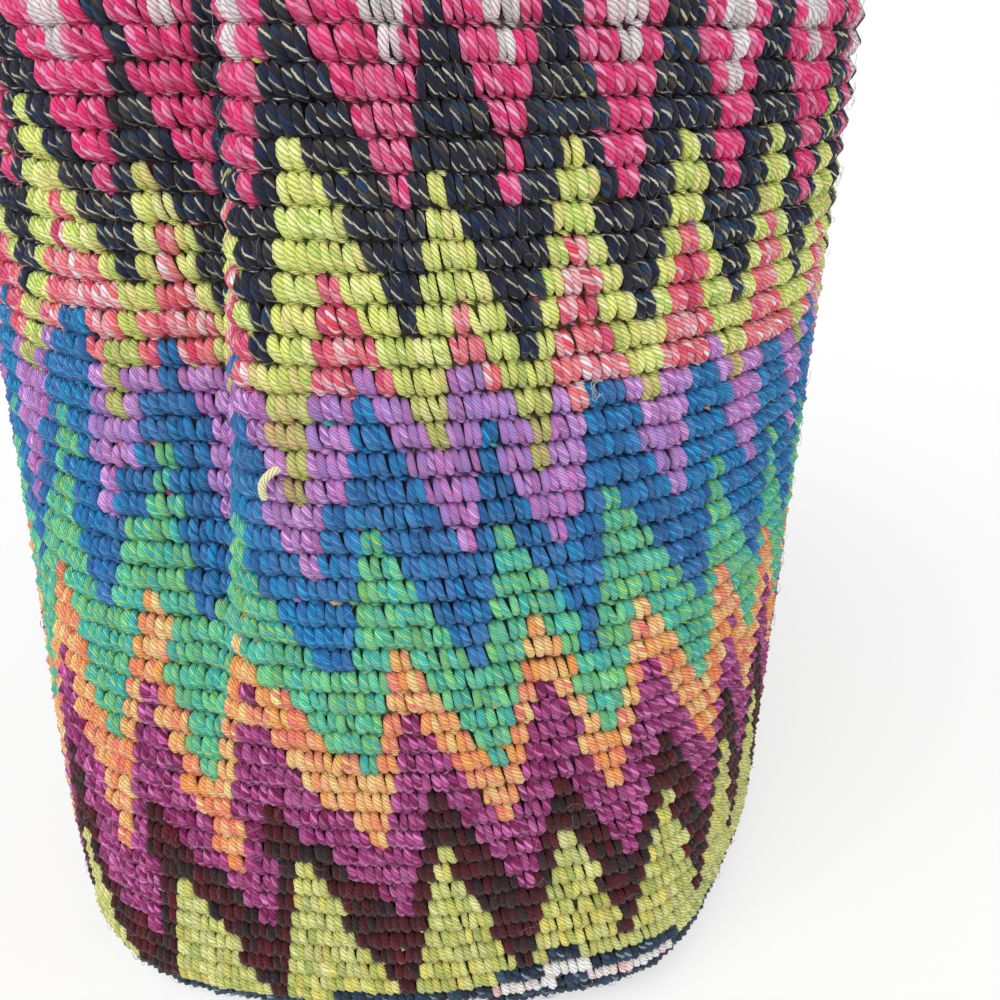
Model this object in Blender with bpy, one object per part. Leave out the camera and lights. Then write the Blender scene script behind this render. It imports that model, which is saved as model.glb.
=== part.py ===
"""Crochet bucket bag with a long shoulder strap.

The bag is worked in rounds: a flat base, a lower edge that rolls up, and a
tall wall with one ridge a round. The strap is a narrow crocheted band, sewn
inside the rim at both ends, that falls over the back of the bag and lies in
a loop on the surface behind it.

Units are metres. +Z is up, -Y is the front, and the origin is the centre of
the base, on the surface that the bag stands on. Angles around the bag start
at the front and grow towards +X.
"""

import math

import bmesh
import bpy
import numpy as np

# Crochet gauge
ROUND_HEIGHT = 0.0049
WALL_ROUNDS = 56
RIDGE_DEPTH = 0.0012
WALL_THICKNESS = 0.0050

# Bag
BAG_RADIUS = 0.097
EDGE_ROLL_WIDTH = 0.0117
EDGE_ROLL_HEIGHT = 0.0179
MOUTH_OVAL = 0.0015
RIM_CROWN = 0.0012

# Fold in the soft wall, left of the front
FOLD_DEPTH = 0.0110
FOLD_RIGHT_WIDTH = math.radians(3.4)
FOLD_LEFT_WIDTH = math.radians(10.0)
FOLD_ANGLE_TOP = math.radians(-13.5)
FOLD_ANGLE_LOW = math.radians(-21.5)
FOLD_LOWEST = 0.065
FOLD_FULL_ABOVE = 0.150
SIDE_SLUMP = 0.0030
SIDE_SLUMP_ANGLE = math.radians(-42.0)
SIDE_SLUMP_HALF_WIDTH = math.radians(18.0)

# Soft corners low in the wall, on both sides of the front
LEFT_CORNER = 0.0099
LEFT_CORNER_ANGLE = math.radians(-41.0)
LEFT_CORNER_HALF_WIDTH = math.radians(20.0)
LEFT_CORNER_TOP = 0.184
RIGHT_CORNER = 0.0063
RIGHT_CORNER_ANGLE = math.radians(36.0)
RIGHT_CORNER_HALF_WIDTH = math.radians(14.0)
RIGHT_CORNER_TOP = 0.173
CORNER_FULL_BELOW = 0.025

# Strap
STRAP_LENGTH = 1.10
STRAP_WIDTH = 0.038
STRAP_THICKNESS = 0.0045
STRAP_RIBS = 3
STRAP_RIB_DEPTH = 0.0007
STRAP_ANGLE = math.radians(110.0)
STRAP_FOOT_ANGLE = math.radians(146.0)
STRAP_SEWN_LENGTH = 0.045
STRAP_LIFT = 0.005
STRAP_LOOP_RADIUS = 0.055
STRAP_TOE_RADIUS = 0.030

# Yarn that sews the strap to the rim
SEWING_YARN_RADIUS = 0.0009
SEWING_ROWS = 5
SEWING_INSET = 0.005

# Clearances
TOUCH_GAP = 0.0003
STRAP_WALL_GAP = 0.0008
STRAP_SEWN_GAP = 0.0011
FLOOR_GAP = 0.0003

# Mesh density
SEGMENTS_AROUND = 34
FOLD_SEGMENT_DENSITY = 4.0
FOLD_SEGMENT_SPREAD = math.radians(9.0)
INNER_ROUNDS_PER_RING = 6
STRAP_STEPS_PER_STATION = 2

COLLECTION_NAME = "crochet_crossbody_bag"
HALF_TURN = math.pi
FULL_TURN = 2.0 * math.pi


def clear_scene():
    for old in list(bpy.data.objects):
        bpy.data.objects.remove(old, do_unlink=True)


def make_material(name, colour, roughness):
    material = bpy.data.materials.new(name)
    material.use_nodes = True
    shader = material.node_tree.nodes["Principled BSDF"]
    shader.inputs["Base Color"].default_value = (*colour, 1.0)
    shader.inputs["Roughness"].default_value = roughness
    shader.inputs["Metallic"].default_value = 0.0
    material.diffuse_color = (*colour, 1.0)
    return material


def smooth_step(value, low, high):
    share = min(max((value - low) / (high - low), 0.0), 1.0)
    return share * share * (3.0 - 2.0 * share)


def bell(angle, centre, half_width):
    offset = (angle - centre + HALF_TURN) % FULL_TURN - HALF_TURN
    return math.exp(-((offset / half_width) ** 2))


def edge_roll_table():
    """Arc length against angle along the quarter ellipse at the lower edge."""
    angles = np.linspace(0.0, HALF_TURN / 2.0, 91)
    speed = np.hypot(EDGE_ROLL_WIDTH * np.cos(angles), EDGE_ROLL_HEIGHT * np.sin(angles))
    steps = (speed[1:] + speed[:-1]) / 2.0 * np.diff(angles)
    return angles, np.concatenate([[0.0], np.cumsum(steps)])


ROLL_ANGLES, ROLL_LENGTHS = edge_roll_table()
ROLL_LENGTH = float(ROLL_LENGTHS[-1])
RIM_HEIGHT = EDGE_ROLL_HEIGHT + WALL_ROUNDS * ROUND_HEIGHT - ROLL_LENGTH


def profile(along):
    """Radius, height and outward normal at a length along the wall, from the base up."""
    if along <= 0.0:
        return BAG_RADIUS - EDGE_ROLL_WIDTH + along, 0.0, 0.0, -1.0
    if along >= ROLL_LENGTH:
        return BAG_RADIUS, EDGE_ROLL_HEIGHT + along - ROLL_LENGTH, 1.0, 0.0
    turn = float(np.interp(along, ROLL_LENGTHS, ROLL_ANGLES))
    radius = BAG_RADIUS - EDGE_ROLL_WIDTH * (1.0 - math.sin(turn))
    height = EDGE_ROLL_HEIGHT * (1.0 - math.cos(turn))
    out = EDGE_ROLL_HEIGHT * math.sin(turn)
    down = EDGE_ROLL_WIDTH * math.cos(turn)
    size = math.hypot(out, down)
    return radius, height, out / size, -down / size


def soft_offset(angle, height):
    """How far the soft wall leaves its circle: a fold, a slump, two corners and an oval mouth."""
    rise = smooth_step(height, FOLD_LOWEST, FOLD_FULL_ABOVE)
    centre = FOLD_ANGLE_LOW + (FOLD_ANGLE_TOP - FOLD_ANGLE_LOW) * smooth_step(
        height, FOLD_LOWEST, RIM_HEIGHT
    )
    width = FOLD_RIGHT_WIDTH if angle > centre else FOLD_LEFT_WIDTH
    fold = FOLD_DEPTH * rise * bell(angle, centre, width)
    slump = SIDE_SLUMP * rise * bell(angle, SIDE_SLUMP_ANGLE, SIDE_SLUMP_HALF_WIDTH)
    oval = MOUTH_OVAL * smooth_step(height, RIM_HEIGHT / 2.0, RIM_HEIGHT) * math.cos(2.0 * angle)
    left = LEFT_CORNER * (1.0 - smooth_step(height, CORNER_FULL_BELOW, LEFT_CORNER_TOP))
    right = RIGHT_CORNER * (1.0 - smooth_step(height, CORNER_FULL_BELOW, RIGHT_CORNER_TOP))
    corners = left * bell(angle, LEFT_CORNER_ANGLE, LEFT_CORNER_HALF_WIDTH)
    corners += right * bell(angle, RIGHT_CORNER_ANGLE, RIGHT_CORNER_HALF_WIDTH)
    return corners - fold - slump - oval


def around(angle, radius, height):
    return np.array([radius * math.sin(angle), -radius * math.cos(angle), height])


def wall_point(angle, along, depth):
    """A point a given depth inside the crest surface of the wall."""
    radius, height, normal_out, normal_up = profile(along)
    offset = soft_offset(angle, height)
    return around(angle, radius + offset - depth * normal_out, height - depth * normal_up)


def segment_angles():
    """Angles around the bag, closer together at the fold."""
    samples = np.linspace(-HALF_TURN, HALF_TURN, 721)
    middle = (FOLD_ANGLE_TOP + FOLD_ANGLE_LOW) / 2.0
    weight = np.array(
        [1.0 + FOLD_SEGMENT_DENSITY * bell(a, middle, FOLD_SEGMENT_SPREAD) for a in samples]
    )
    steps = (weight[1:] + weight[:-1]) / 2.0
    total = np.concatenate([[0.0], np.cumsum(steps)])
    wanted = np.linspace(0.0, total[-1], SEGMENTS_AROUND + 1)[:-1]
    return [float(a) for a in np.interp(wanted, total, samples)]


def bag_rings():
    """Closed section of the bag as rings, from the base underside over the rim to the inner base."""
    angles = segment_angles()
    half = ROUND_HEIGHT / 2.0
    rings = [[wall_point(a, -half, 0.0) for a in angles]]
    for number in range(WALL_ROUNDS):
        along = number * ROUND_HEIGHT
        rings.append([wall_point(a, along, RIDGE_DEPTH) for a in angles])
        rings.append([wall_point(a, along + half, 0.0) for a in angles])
    top = WALL_ROUNDS * ROUND_HEIGHT
    rings.append([wall_point(a, top, RIDGE_DEPTH) for a in angles])
    crown = np.array([0.0, 0.0, RIM_CROWN])
    rings.append([wall_point(a, top, WALL_THICKNESS / 2.0) + crown for a in angles])
    step = INNER_ROUNDS_PER_RING * ROUND_HEIGHT
    along = top
    while along > ROLL_LENGTH:
        rings.append([wall_point(a, along, WALL_THICKNESS) for a in angles])
        along -= step
    rings.append([wall_point(a, ROLL_LENGTH, WALL_THICKNESS) for a in angles])
    rings.append([wall_point(a, ROLL_LENGTH / 2.0, WALL_THICKNESS) for a in angles])
    rings.append([wall_point(a, -half, WALL_THICKNESS) for a in angles])
    return rings


def loft(rings, name):
    """Closed mesh through rings of points, with a flat cap on the first and the last ring."""
    mesh = bpy.data.meshes.new(name)
    build = bmesh.new()
    rows = [[build.verts.new(point) for point in ring] for ring in rings]
    count = len(rows[0])
    for lower, upper in zip(rows, rows[1:]):
        for i in range(count):
            j = (i + 1) % count
            build.faces.new((lower[i], lower[j], upper[j], upper[i]))
    build.faces.new(list(reversed(rows[0])))
    build.faces.new(rows[-1])
    bmesh.ops.recalc_face_normals(build, faces=build.faces)
    build.to_mesh(mesh)
    build.free()
    return mesh


def add_object(collection, name, mesh, material, sharp_angle):
    mesh.materials.append(material)
    mesh.shade_smooth()
    mesh.set_sharp_from_angle(angle=sharp_angle)
    made = bpy.data.objects.new(name, mesh)
    collection.objects.link(made)
    return made


def make_bag(collection):
    material = make_material("bag_yarn", (0.16, 0.42, 0.40), 0.9)
    mesh = loft(bag_rings(), "bag_body")
    return add_object(collection, "bag_body", mesh, material, math.radians(50.0))


def hermite_path(points, steps):
    """Smooth curve through the points, with a number of steps between each two."""
    points = np.array(points)
    padded = np.vstack([2.0 * points[0] - points[1], points, 2.0 * points[-1] - points[-2]])
    out = []
    for i in range(1, len(padded) - 2):
        before, start, end, after = padded[i - 1:i + 3]
        for k in range(steps):
            t = k / steps
            out.append(
                0.5 * (2.0 * start + (end - before) * t
                       + (2.0 * before - 5.0 * start + 4.0 * end - after) * t ** 2
                       + (3.0 * start - before - 3.0 * end + after) * t ** 3)
            )
    out.append(points[-1])
    return np.array(out)


def strap_half_stations(floor_run):
    """Stations of half the strap, from its sewn end to the middle of its loop.

    Each is a centre point, a direction across the strap, and how strongly the
    strap curls about its length to follow the wall.
    """
    half_thick = STRAP_THICKNESS / 2.0
    inner = BAG_RADIUS - WALL_THICKNESS - STRAP_SEWN_GAP - half_thick
    outer = BAG_RADIUS + STRAP_WALL_GAP + half_thick
    across = around(STRAP_ANGLE + HALF_TURN / 2.0, 1.0, 0.0)
    start_offset = soft_offset(STRAP_ANGLE, RIM_HEIGHT)
    stations = []

    def add(angle, radius, height, direction, curl):
        stations.append((around(angle, radius, height), direction, curl))

    for share in (1.0, 0.66, 0.33, 0.10):
        height = RIM_HEIGHT - STRAP_SEWN_LENGTH * share
        offset = soft_offset(STRAP_ANGLE, height)
        add(STRAP_ANGLE, inner + offset, height, across, -1.0 / inner)
    reach = (outer - inner) / 2.0
    arch_base = RIM_HEIGHT + RIM_CROWN + STRAP_LIFT
    for turn in (0.25, 0.5, 0.75):
        angle = turn * HALF_TURN
        radius = (inner + outer) / 2.0 + start_offset - reach * math.cos(angle)
        height = arch_base + (reach + half_thick) * (math.sin(angle) - 0.5)
        add(STRAP_ANGLE, radius, height, across, (2.0 * turn - 1.0) / radius)

    drop_top = RIM_HEIGHT - 2.0 * ROUND_HEIGHT
    drop_low = STRAP_TOE_RADIUS + half_thick
    drops = 7
    for i in range(drops + 1):
        share = i / drops
        angle = STRAP_ANGLE + (STRAP_FOOT_ANGLE - STRAP_ANGLE) * share
        height = drop_top + (drop_low - drop_top) * share
        radius = outer + soft_offset(angle, height)
        direction = around(angle + HALF_TURN / 2.0, 1.0, 0.0)
        add(angle, radius, height, direction, 1.0 / outer * min(1.0, 2.0 * (1.0 - share)))

    floor_height = half_thick + FLOOR_GAP
    foot_out = around(STRAP_FOOT_ANGLE, 1.0, 0.0)
    foot_across = around(STRAP_FOOT_ANGLE + HALF_TURN / 2.0, 1.0, 0.0)
    for turn in (0.33, 0.66, 1.0):
        angle = turn * HALF_TURN / 2.0
        radius = outer + STRAP_TOE_RADIUS * (1.0 - math.cos(angle))
        height = floor_height + STRAP_TOE_RADIUS * (1.0 - math.sin(angle))
        add(STRAP_FOOT_ANGLE, radius, height, foot_across, 0.0)

    toe = stations[-1][0]
    loop_middle_y = toe[1] + floor_run
    loop_side = np.array([STRAP_LOOP_RADIUS, loop_middle_y, floor_height])
    up = np.array([0.0, 0.0, 1.0])
    run_steps = 5
    for i in range(1, run_steps + 1):
        share = i / run_steps
        ease = share * share * (3.0 - 2.0 * share)
        first = toe + foot_out * floor_run * 0.45 * share
        second = loop_side - np.array([0.0, floor_run * 0.45 * (1.0 - share), 0.0])
        centre = first * (1.0 - ease) + second * ease
        twist = ease * HALF_TURN / 2.0
        flat = foot_across * (1.0 - ease) + np.array([1.0, 0.0, 0.0]) * -ease
        flat = flat / np.linalg.norm(flat)
        direction = flat * math.cos(twist) + up * math.sin(twist)
        centre[2] = FLOOR_GAP + half_thick * math.cos(twist) + STRAP_WIDTH / 2.0 * math.sin(twist)
        stations.append((centre, direction, 0.0))
    for turn in (0.34, 0.67, 1.0):
        angle = turn * HALF_TURN / 2.0
        centre = np.array(
            [
                STRAP_LOOP_RADIUS * math.cos(angle),
                loop_middle_y + STRAP_LOOP_RADIUS * math.sin(angle),
                FLOOR_GAP + STRAP_WIDTH / 2.0,
            ]
        )
        stations.append((centre, up, 0.0))
    return stations


def strap_frames(floor_run):
    """Centre, width direction, face normal and curl at each section of the whole strap."""
    half = strap_half_stations(floor_run)
    flip = np.array([-1.0, 1.0, 1.0])
    mirrored = []
    for centre, direction, curl in reversed(half[:-1]):
        mirrored.append((centre * flip, direction * flip, curl))
    stations = half + mirrored
    centres = hermite_path([s[0] for s in stations], STRAP_STEPS_PER_STATION)
    widths = hermite_path([s[1] for s in stations], STRAP_STEPS_PER_STATION)
    curls = hermite_path([[s[2]] for s in stations], STRAP_STEPS_PER_STATION)[:, 0]
    tangents = np.gradient(centres, axis=0)
    tangents /= np.linalg.norm(tangents, axis=1)[:, None]
    widths -= tangents * np.sum(widths * tangents, axis=1)[:, None]
    widths /= np.linalg.norm(widths, axis=1)[:, None]
    normals = np.cross(tangents, widths)
    return centres, widths, normals, curls


def path_length(points):
    return float(np.sum(np.linalg.norm(np.diff(points, axis=0), axis=1)))


def fitted_strap():
    """Frames of the strap, with the run on the floor that gives it its whole length."""
    floor_run = STRAP_LENGTH / 8.0
    for _ in range(12):
        frames = strap_frames(floor_run)
        floor_run += (STRAP_LENGTH - path_length(frames[0])) / 2.0
    return frames


def strap_section():
    """Closed outline of the strap: lengthwise ribs on both faces, rounded at the edges."""
    points = []
    half = STRAP_WIDTH / 2.0
    thick = STRAP_THICKNESS / 2.0
    pitch = STRAP_WIDTH / STRAP_RIBS
    upper = []
    for rib in range(STRAP_RIBS):
        left = -half + rib * pitch
        if rib > 0:
            upper.append((left, thick - STRAP_RIB_DEPTH))
        upper.append((left + pitch / 2.0, thick))
    points.append((-half, 0.0))
    points += upper
    points.append((half, 0.0))
    points += [(u, -v) for u, v in reversed(upper)]
    return points


def make_strap(collection, frames):
    centres, widths, normals, curls = frames
    rings = []
    for centre, width, normal, curl in zip(centres, widths, normals, curls):
        rings.append(
            [centre + width * u + normal * (v - curl * u * u / 2.0) for u, v in strap_section()]
        )
    material = make_material("strap_yarn", (0.03, 0.04, 0.10), 0.9)
    return add_object(
        collection, "shoulder_strap", loft(rings, "shoulder_strap"), material, math.radians(50.0)
    )


def curve_to_mesh(curve_object, name):
    """Mesh of a bevelled curve, with its caps welded, in place of the curve."""
    graph = bpy.context.evaluated_depsgraph_get()
    mesh = bpy.data.meshes.new_from_object(curve_object.evaluated_get(graph))
    build = bmesh.new()
    build.from_mesh(mesh)
    bmesh.ops.remove_doubles(build, verts=build.verts, dist=0.00001)
    build.to_mesh(mesh)
    build.free()
    mesh.name = name
    bpy.data.objects.remove(curve_object, do_unlink=True)
    return mesh


def make_sewing(collection, name, side):
    """One run of sewing yarn, to and fro across the sewn end of the strap."""
    strap_face = BAG_RADIUS - WALL_THICKNESS - STRAP_SEWN_GAP - STRAP_THICKNESS
    radius = strap_face - TOUCH_GAP - SEWING_YARN_RADIUS
    half_span = STRAP_WIDTH / 2.0 - SEWING_INSET
    usable = STRAP_SEWN_LENGTH - 2.0 * SEWING_INSET
    lowest = RIM_HEIGHT - STRAP_SEWN_LENGTH + SEWING_INSET
    points = []
    for i in range(SEWING_ROWS + 1):
        height = lowest + usable * i / SEWING_ROWS
        ends = (-1.0, -0.33, 0.33, 1.0) if i % 2 == 0 else (1.0, 0.33, -0.33, -1.0)
        for k, end in enumerate(ends):
            angle = side * STRAP_ANGLE + end * half_span / radius
            tilt = usable / SEWING_ROWS * k / len(ends)
            if i == SEWING_ROWS:
                tilt = 0.0
            level = height + tilt
            points.append(around(angle, radius + soft_offset(angle, level), level))
    curve = bpy.data.curves.new(name, "CURVE")
    curve.dimensions = "3D"
    curve.bevel_depth = SEWING_YARN_RADIUS
    curve.bevel_resolution = 1
    curve.use_fill_caps = True
    spline = curve.splines.new("POLY")
    spline.points.add(len(points) - 1)
    for place, point in zip(spline.points, points):
        place.co = (*point, 1.0)
    made = bpy.data.objects.new(name + "_curve", curve)
    collection.objects.link(made)
    bpy.context.view_layer.update()
    mesh = curve_to_mesh(made, name)
    material = make_material(name + "_yarn", (0.03, 0.04, 0.10), 0.9)
    return add_object(collection, name, mesh, material, math.radians(40.0))


def main():
    clear_scene()
    collection = bpy.data.collections.new(COLLECTION_NAME)
    bpy.context.scene.collection.children.link(collection)
    make_bag(collection)
    make_strap(collection, fitted_strap())
    make_sewing(collection, "strap_stitch_right", 1.0)
    make_sewing(collection, "strap_stitch_left", -1.0)


main()
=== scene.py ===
"""Crochet bucket bag with a long shoulder strap, built stitch by stitch from plied yarn.

Units are metres, +Z is up, -Y is the front. Angles around the bag start at the front and
grow towards +X. Rows of the pattern are counted down from a row a little below the rim.
"""

import math

import bpy
import numpy as np
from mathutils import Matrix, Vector


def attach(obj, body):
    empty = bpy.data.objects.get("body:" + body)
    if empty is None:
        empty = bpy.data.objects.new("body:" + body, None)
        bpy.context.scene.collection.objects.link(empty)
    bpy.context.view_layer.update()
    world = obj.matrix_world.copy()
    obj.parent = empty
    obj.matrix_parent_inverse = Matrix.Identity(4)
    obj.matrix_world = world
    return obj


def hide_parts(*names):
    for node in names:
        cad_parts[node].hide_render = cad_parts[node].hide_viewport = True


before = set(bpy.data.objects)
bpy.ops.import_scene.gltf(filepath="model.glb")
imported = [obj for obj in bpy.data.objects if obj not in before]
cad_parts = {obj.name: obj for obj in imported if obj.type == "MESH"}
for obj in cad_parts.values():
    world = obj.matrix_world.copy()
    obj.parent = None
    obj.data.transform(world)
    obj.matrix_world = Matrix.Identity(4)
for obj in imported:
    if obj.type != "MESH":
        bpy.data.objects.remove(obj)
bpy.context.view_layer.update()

# Shape of the bag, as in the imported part
ROUND_HEIGHT = 0.0049
WALL_ROUNDS = 56
WALL_THICKNESS = 0.0050
BAG_RADIUS = 0.097
EDGE_ROLL_WIDTH = 0.0117
EDGE_ROLL_HEIGHT = 0.0179
MOUTH_OVAL = 0.0015
RIM_CROWN = 0.0012
FOLD_DEPTH = 0.0110
FOLD_RIGHT_WIDTH = math.radians(3.4)
FOLD_LEFT_WIDTH = math.radians(10.0)
FOLD_ANGLE_TOP = math.radians(-13.5)
FOLD_ANGLE_LOW = math.radians(-21.5)
FOLD_LOWEST = 0.065
FOLD_FULL_ABOVE = 0.150
SIDE_SLUMP = 0.0030
SIDE_SLUMP_ANGLE = math.radians(-42.0)
SIDE_SLUMP_HALF_WIDTH = math.radians(18.0)
CORNER_FULL_BELOW = 0.025
# Fuller corners low on the left and on the right: size, angle, half width and top
CORNERS = ((0.0099, math.radians(-41.0), math.radians(20.0), 0.184),
           (0.0063, math.radians(36.0), math.radians(14.0), 0.173))

# Shape of the strap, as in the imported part
STRAP_LENGTH = 1.10
STRAP_WIDTH = 0.038
STRAP_THICKNESS = 0.0045
STRAP_ANGLE = math.radians(110.0)
STRAP_FOOT_ANGLE = math.radians(146.0)
STRAP_SEWN_LENGTH = 0.045
STRAP_LIFT = 0.005
STRAP_LOOP_RADIUS = 0.055
STRAP_TOE_RADIUS = 0.030
STRAP_WALL_GAP = 0.0008
STRAP_SEWN_GAP = 0.0011
FLOOR_GAP = 0.0003
TOUCH_GAP = 0.0003
SEWING_YARN_RADIUS = 0.0009
SEWING_ROWS = 5
SEWING_INSET = 0.005

QUARTER_TURN = math.pi / 2.0
HALF_TURN = math.pi
FULL_TURN = 2.0 * math.pi

# Stitches
COLUMNS = 168
HALF_ROUND = COLUMNS / 2.0
COLUMN_ANGLE = FULL_TURN / COLUMNS
COLUMN_DRIFT = 0.2
ROW_ZERO_ROUND = 44
STRAND_SHARE = 0.262
CARRIED_SHARE = 0.06
STRAY_FIBRES = 700
LOOSE_END_ANGLES = (-8.8, -9.4, -10.1, -10.7, -10.9, -10.8)
LOOSE_END_ALONG = (0.1487, 0.1488, 0.1481, 0.1467, 0.1451, 0.1436)
LOOSE_END_LIFTS = (-0.0010, 0.0004, 0.0014, 0.0017, 0.0016, 0.0013)
LOOSE_END_RADIUS = 0.00074
LOOSE_END_COLOUR = (238, 230, 186)
FIBRE_RADIUS = 0.000045
FIBRE_LENGTHS = (0.0015, 0.0045)
FIBRE_COLUMNS = (-30.0, 32.0)
WISP_ANGLE = math.radians(22.2)
WISP_ALONG = 0.1624
WISP_LIFT = 0.0016
WISP_RADIUS = 0.00010
WISP_COLOUR = (232, 226, 232)
BASE_STITCH = 0.0042
BASE_STRAND = 0.00102
BASE_DEPTH = 0.0005
RIM_DROP = 0.0004
BACKING_DEPTH = 0.0021
# Painted shade: the shell behind the strands has a much darker copy of its band's colour
BACKING_PAINTED_SHADE = 0.30
INSIDE_RIDGE = 0.0008
INSIDE_VALLEY = 0.0001
INSIDE_SHADE = 0.75
FRONT_FROM = math.radians(-66.0)
FRONT_TO = math.radians(70.0)
FRONT_ROUNDS = 47

# Lighting and camera
WHITE = (1.0, 1.0, 1.0, 1.0)
WORLD_LEVEL = 0.50
FLOOR_SIZE = 6.0
FLOOR_LEVEL = -0.0002
FLOOR_WHITE = 0.6
# Name, direction, softness in degrees and strength of a main lamp and a weaker one
LAMPS = (("key", (0.35, 0.62, -1.0), 50.0, 1.75), ("fill", (-0.8, 0.9, -0.5), 70.0, 0.35))
CAMERA_PLACE = (0.02129, -0.24206, 0.20764)
CAMERA_TILT = 0.448
CAMERA_LENS = 34.34


def linear(colour):
    """Linear values of a colour written as it looks, from 0 to 255."""
    share = np.asarray(colour, float) / 255.0
    return np.where(share <= 0.04045, share / 12.92, ((share + 0.055) / 1.055) ** 2.4)


# Bands of the zigzag from the rim down. row is where a band starts, at the left edge of a tooth.
# Its yarn goes through its stops once in run stitches. spread is how far the three plies are apart
# in that run, and blend how much the two ends of a strand differ. pitch is the length of one ply,
# plies is how many lie around a strand, and light brightens it. fleck is the colour of the third
# ply on a share of the strands, flecked. From the row changes on, the stops are those of later.
# fall is how many rows a tooth drops over its width, and left_lift how many rows higher it starts
# in the left lobe. A flat band has no teeth.
USUAL_BAND = dict(pitch=0.0008, plies=6, light=1.35, spread=0.05, blend=0.14, fall=7.0,
                  left_lift=0.0, flat=False)
BANDS = [
    dict(name="rim", row=-40.0, run=23, pitch=0.0013, plies=3, light=1.0,
         fleck=(214, 205, 180), flecked=0.5,
         stops=[(22, 32, 62), (38, 36, 40), (20, 44, 80), (60, 52, 48), (16, 24, 48)]),
    dict(name="white", row=-9.0, run=30,
         stops=[(206, 200, 198), (176, 170, 170), (222, 196, 202), (190, 184, 184)]),
    dict(name="pink", row=-5.0, run=34, pitch=0.0009, light=1.15, spread=0.15,
         stops=[(212, 34, 98), (238, 110, 160), (178, 14, 72), (242, 150, 186), (220, 52, 120)]),
    dict(name="black", row=-1.0, run=19, pitch=0.0010, light=0.85, spread=0.15,
         fleck=(230, 222, 196), flecked=0.80,
         stops=[(22, 34, 78), (36, 34, 36), (14, 24, 56), (76, 68, 56), (22, 64, 104),
                (24, 24, 30)]),
    dict(name="lime", row=2.6, run=37, spread=0.08,
         stops=[(198, 206, 110), (222, 226, 152), (162, 188, 88), (222, 204, 136), (190, 198, 104)],
         later=[(168, 168, 92), (190, 180, 124), (146, 154, 80), (186, 150, 118), (160, 164, 98)],
         changes=10.5),
    dict(name="coral", row=7.3, run=21, left_lift=2.3, spread=0.09, blend=0.25,
         stops=[(222, 88, 98), (244, 200, 206), (204, 58, 76), (186, 70, 110), (238, 140, 140)]),
    dict(name="mauve", row=10.9, run=33, pitch=0.0006, plies=9, flat=True, spread=0.12, blend=0.22,
         stops=[(168, 114, 184), (208, 160, 212), (136, 92, 164), (196, 112, 168),
                (134, 124, 190)]),
    dict(name="blue", row=11.5, run=41, pitch=0.0006, plies=9, spread=0.13, blend=0.22,
         stops=[(10, 88, 146), (24, 148, 196), (24, 84, 138), (84, 126, 184), (12, 112, 158),
                (48, 86, 150)]),
    dict(name="green", row=16.0, run=31, pitch=0.0006, plies=9, spread=0.17, blend=0.25,
         stops=[(58, 166, 140), (36, 158, 178), (150, 186, 84), (66, 172, 116), (122, 196, 156)]),
    dict(name="orange", row=20.9, run=27, pitch=0.0007, spread=0.09, blend=0.30,
         stops=[(232, 150, 74), (232, 174, 130), (238, 194, 124), (210, 102, 106), (228, 136, 88)]),
    dict(name="purple", row=24.4, run=29, light=1.15, spread=0.12, blend=0.35,
         stops=[(136, 30, 92), (196, 92, 164), (92, 8, 50), (160, 54, 122), (204, 118, 180),
                (112, 16, 66)]),
    dict(name="maroon", row=28.2, run=25, light=1.0,
         stops=[(66, 8, 20), (94, 12, 26), (34, 12, 18), (50, 34, 36), (78, 8, 18)]),
    dict(name="low_lime", row=31.2, run=43, fall=9.5, light=1.25,
         stops=[(184, 188, 108), (206, 204, 140), (160, 174, 92), (204, 192, 98), (192, 196, 128)]),
    dict(name="navy", row=40.0, run=24, pitch=0.0010, plies=3, flat=True, light=1.0,
         fleck=(150, 172, 190), flecked=0.4,
         stops=[(36, 62, 88), (18, 34, 56), (58, 84, 110), (24, 42, 62)]),
    dict(name="cream", row=41.0, run=26, flat=True,
         stops=[(232, 212, 206), (244, 234, 220), (214, 164, 166), (238, 222, 214)]),
    dict(name="base", row=42.0, run=24, pitch=0.0010, plies=3, flat=True, light=1.0,
         fleck=(150, 172, 190), flecked=0.4,
         stops=[(30, 50, 80), (18, 32, 54), (50, 72, 104), (24, 42, 62)]),
]
BANDS = [{**USUAL_BAND, **band} for band in BANDS]
BAND_INDEX = {band["name"]: number for number, band in enumerate(BANDS)}


def smooth_step(value, low, high):
    """Share that eases from 0 at the low value to 1 at the high one."""
    share = np.clip((np.asarray(value, float) - low) / (high - low), 0.0, 1.0)
    return share * share * (3.0 - 2.0 * share)


def fade_out(value, low, high):
    """Share that eases from 1 at the low value to 0 at the high one."""
    return 1.0 - smooth_step(value, low, high)


def window(value, low, full, fading, gone):
    """Share that eases from 0 to 1, and back to 0 further on."""
    return smooth_step(value, low, full) * fade_out(value, fading, gone)


def bell(angle, centre, half_width):
    """Share that is 1 at an angle around the bag and falls off on both sides of it."""
    offset = (angle - centre + HALF_TURN) % FULL_TURN - HALF_TURN
    return np.exp(-((offset / half_width) ** 2))


def unit(vectors):
    return vectors / np.maximum(np.linalg.norm(vectors, axis=-1, keepdims=True), 1e-12)


def edge_roll_table():
    """Arc length against angle along the quarter ellipse at the lower edge."""
    angles = np.linspace(0.0, QUARTER_TURN, 91)
    speed = np.hypot(EDGE_ROLL_WIDTH * np.cos(angles), EDGE_ROLL_HEIGHT * np.sin(angles))
    steps = (speed[1:] + speed[:-1]) / 2.0 * np.diff(angles)
    return angles, np.concatenate([[0.0], np.cumsum(steps)])


ROLL_ANGLES, ROLL_LENGTHS = edge_roll_table()
ROLL_LENGTH = float(ROLL_LENGTHS[-1])
RIM_HEIGHT = EDGE_ROLL_HEIGHT + WALL_ROUNDS * ROUND_HEIGHT - ROLL_LENGTH


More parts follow.
